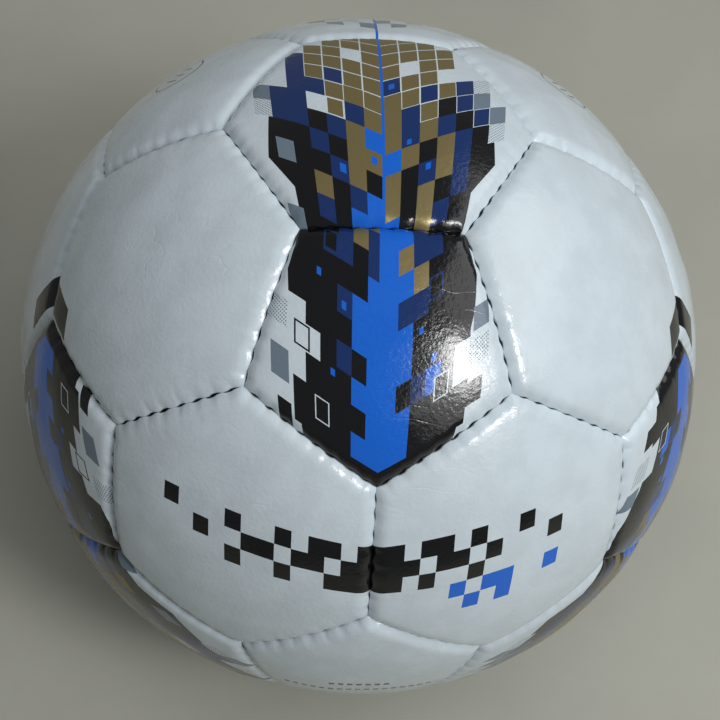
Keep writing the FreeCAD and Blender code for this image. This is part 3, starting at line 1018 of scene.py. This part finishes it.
class BALL_OT_tip_hexagons(bpy.types.Operator):
    """Build the white hexagons on both sides of each strip's tip, with a row of cells or a chevron"""
    bl_idname = "ball.tip_hexagons"
    bl_label = "Hexagons beside the tips"

    def execute(self, context):
        colours = context.scene.ball_colours
        left = ["k...k..k.kk.k|", "..k..kk.kk.kk|", "....k..k..kkk|", ".............|", ".............|"]
        right = ["|kk.kk.k..k...", "|kkk.kk.k...k.", "|kk.k..k......", "|.....b.bb..b.", "|......b.b...."]
        for side, centre, rows in (("left", 38.3, left), ("right", -38.3, right)):
            row = cell_row_print(f"Cells, {side}", centre, rows)
            chevron = chevron_print(f"Chevron, {side}", centre)
            kind = f"{side}_tip_hexagon"
            build_panels(numbered(kind, 1, 3, 5),
                         skin_material(f"Skin with cells, {side}", colours, row), "white_skin")
            build_panels(numbered(kind, 2, 4, 6),
                         skin_material(f"Skin with chevron, {side}", colours, chevron), "white_skin")
        return {"FINISHED"}


class BALL_OT_printed_panels(bpy.types.Operator):
    """Build the panels of the six printed strips and the two hubs where they end"""
    bl_idname = "ball.printed_panels"
    bl_label = "Printed panels"

    def execute(self, context):
        colours = context.scene.ball_colours
        build_panels(numbered("printed_pentagon"),
                     skin_material("Printed skin, pentagon", colours, pentagon_print()), "printed_skin")
        build_panels(numbered("printed_hexagon"),
                     skin_material("Printed skin, hexagon", colours, hexagon_print()), "printed_skin")
        build_panels(["upper_hub_hexagon", "lower_hub_hexagon"],
                     skin_material("Printed skin, hub", colours, hub_print()), "faded_print_skin")
        return {"FINISHED"}


class BALL_OT_stitches(bpy.types.Operator):
    """Build the visible stitches of every seam"""
    bl_idname = "ball.stitches"
    bl_label = "Stitches"

    def execute(self, context):
        shape, colours = context.scene.ball_shape, context.scene.ball_colours
        thread = speckled_material("Waxed thread", colours.thread, 0.4, 0.35, 0.6, 0.05, 0.3)
        round_pentagons = {at for panel in PANELS if panel.sides == 5 for at, _ in SEAMS.on_panel[panel.name]}
        between_hexagons = set(range(len(SEAMS.middle))) - round_pentagons
        for name, seams in (("pentagon_seam", round_pentagons), ("hexagon_seam", between_hexagons)):
            piece = new_mesh(name + "_stitches", *stitch_meshes(sorted(seams), shape))
            settle(piece, thread, "thread", name + "_threads")
        return {"FINISHED"}


class BALL_OT_insides(bpy.types.Operator):
    """Dress the linings, bladder, foam and valve that come from the frame"""
    bl_idname = "ball.insides"
    bl_label = "Insides"

    def execute(self, context):
        colours = context.scene.ball_colours
        kinds = ("printed", "left_tip", "right_tip", "hub")
        dress(cloth_material("Lining cloth", colours.cloth), "pentagon_linings", "valve_patch",
              *(f"{kind}_hexagon_linings" for kind in kinds))
        dress(speckled_material("Bladder rubber", (0.03, 0.03, 0.032), 3.0, 0.35, 0.55, 0.05),
              "bladder", "balance_patch")
        dress(speckled_material("Valve rubber", colours.rubber, 0.5, 0.45, 0.65, 0.03),
              "valve_boot", "valve_plug")
        dress(speckled_material("Damping foam", colours.foam, 0.8, 0.85, 1.0, 0.3, 0.25), "damping_foam")
        return {"FINISHED"}


# ---- the studio ---------------------------------------------------------------------------------
def look_along(place, right, forward):
    """The placement of a camera or lamp that looks along forward."""
    forward = unit(np.array(forward, float))
    right = unit(np.array(right, float) - forward * (np.array(right) @ forward))
    up = np.cross(right, forward)
    matrix = np.eye(4)
    matrix[:3, 0], matrix[:3, 1], matrix[:3, 2], matrix[:3, 3] = right, up, -forward, place
    return Matrix(matrix.tolist())


def add_lamp(name, azimuth, elevation, distance, size, size_y, watts, reflected=True):
    """A rectangular softbox that faces the ball from an azimuth counted from -Y towards +X."""
    a, e = math.radians(azimuth), math.radians(elevation)
    towards = np.array([math.sin(a) * math.cos(e), -math.cos(a) * math.cos(e), math.sin(e)])
    lamp = bpy.data.lights.new(name, "AREA")
    lamp.shape, lamp.size, lamp.size_y, lamp.energy = "RECTANGLE", size, size_y, watts
    holder = bpy.data.objects.new(name, lamp)
    holder.matrix_world = look_along(towards * distance, np.cross(-towards, PLUS_Z), -towards)
    holder.visible_glossy = reflected
    bpy.context.scene.collection.objects.link(holder)


def add_camera():
    """The camera, about four ball radii away, above and in front, turned a little."""
    camera = bpy.data.cameras.new("Camera")
    camera.sensor_width, camera.lens = 36.0, 68.2
    camera.clip_start, camera.clip_end = 0.01, 20.0
    holder = bpy.data.objects.new("Camera", camera)
    place = np.array([-0.225, -1.967, 3.654]) * BALL_RADIUS * MM
    holder.matrix_world = look_along(place, (0.9981, -0.0023, 0.0613), (0.0552, 0.4714, -0.8802))
    bpy.context.scene.collection.objects.link(holder)
    bpy.context.scene.camera = holder


def add_floor(rgb):
    """A wide floor under the ball with a faint mottle."""
    side, level = 3.0 / MM, -BALL_RADIUS
    corners = np.array([(x * side, y * side, level) for x, y in ((-1, -1), (1, -1), (1, 1), (-1, 1))])
    floor = new_mesh("Floor", corners, np.array([[0, 1, 2, 3]]))
    material, n, shader = new_material("Floor")
    where = n.add("ShaderNodeTexCoord").outputs["Object"]
    cloud = n.noise(where, 90.0, 5.0, 0.6)
    rgb = np.array(rgb)
    n.put(shader.inputs["Base Color"], n.mix(n.ramp(cloud, 0.3, 0.7), solid(rgb * 0.95), solid(rgb * 1.04)))
    n.put(shader.inputs["Roughness"], n.ramp(cloud, 0.3, 0.7, 0.5, 0.62))
    floor.data.materials.append(material)


class BALL_OT_studio(bpy.types.Operator):
    """Build the floor, the lamps, the camera and the world"""
    bl_idname = "ball.studio"
    bl_label = "Studio"

    def execute(self, context):
        stage = context.scene.ball_stage
        add_camera()
        add_floor(stage.floor)
        add_lamp("Window", 48, 49, 1.25, 0.26, 0.36, stage.window)
        add_lamp("Room", 78, 49, 1.3, 2.2, 0.7, stage.room)
        add_lamp("Overhead", 0, 89.9, 1.3, 0.8, 0.8, stage.overhead, reflected=False)
        add_lamp("Rear", 205, 12, 1.4, 1.3, 0.8, stage.rear, reflected=False)
        world = bpy.data.worlds.new("Studio")
        world.use_nodes = True
        n = Nodes(world.node_tree)
        n.tree.nodes.clear()
        fill = n.add("ShaderNodeBackground", {"Color": (0.93, 0.97, 1.0, 1.0), "Strength": stage.fill})
        seen = n.add("ShaderNodeBackground", {"Color": (0.78, 0.77, 0.75, 1.0), "Strength": 0.24})
        path = n.add("ShaderNodeLightPath")
        direct = n.math("MAXIMUM", path.outputs["Is Camera Ray"], path.outputs["Is Glossy Ray"])
        direct = n.math("MAXIMUM", direct, path.outputs["Is Transmission Ray"])
        mix = n.add("ShaderNodeMixShader", {"Fac": direct})
        n.tree.links.new(fill.outputs[0], mix.inputs[1])
        n.tree.links.new(seen.outputs[0], mix.inputs[2])
        n.add("ShaderNodeOutputWorld", {"Surface": mix.outputs[0]})
        context.scene.world = world
        context.scene.view_settings.view_transform = "Standard"
        return {"FINISHED"}


class BALL_PT_panel(bpy.types.Panel):
    """The ball's settings and steps in the sidebar"""
    bl_label = "Indoor ball"
    bl_idname = "BALL_PT_panel"
    bl_space_type = "VIEW_3D"
    bl_region_type = "UI"
    bl_category = "Ball"

    def draw(self, context):
        scene = context.scene
        for group in (scene.ball_shape, scene.ball_colours, scene.ball_stage):
            box = self.layout.box()
            for key in group.__annotations__:
                box.prop(group, key)
        for operator in OPERATORS:
            self.layout.operator(operator.bl_idname)


GROUPS = (BallShape, BallColours, BallStage)
OPERATORS = (BALL_OT_studio, BALL_OT_plain_panels, BALL_OT_tip_hexagons, BALL_OT_printed_panels,
             BALL_OT_stitches, BALL_OT_insides)


def register():
    """Adds the settings, the steps and their panel."""
    for cls in GROUPS + OPERATORS + (BALL_PT_panel,):
        bpy.utils.register_class(cls)
    bpy.types.Scene.ball_shape = PointerProperty(type=BallShape)
    bpy.types.Scene.ball_colours = PointerProperty(type=BallColours)
    bpy.types.Scene.ball_stage = PointerProperty(type=BallStage)


def unregister():
    """Takes them out again."""
    del bpy.types.Scene.ball_stage, bpy.types.Scene.ball_colours, bpy.types.Scene.ball_shape
    for cls in reversed(GROUPS + OPERATORS + (BALL_PT_panel,)):
        bpy.utils.unregister_class(cls)


def main():
    """Builds the whole ball."""
    register()
    bpy.ops.ball.studio()
    bpy.ops.ball.plain_panels()
    bpy.ops.ball.tip_hexagons()
    bpy.ops.ball.printed_panels()
    bpy.ops.ball.stitches()
    bpy.ops.ball.insides()


if __name__ == "__main__":
    main()
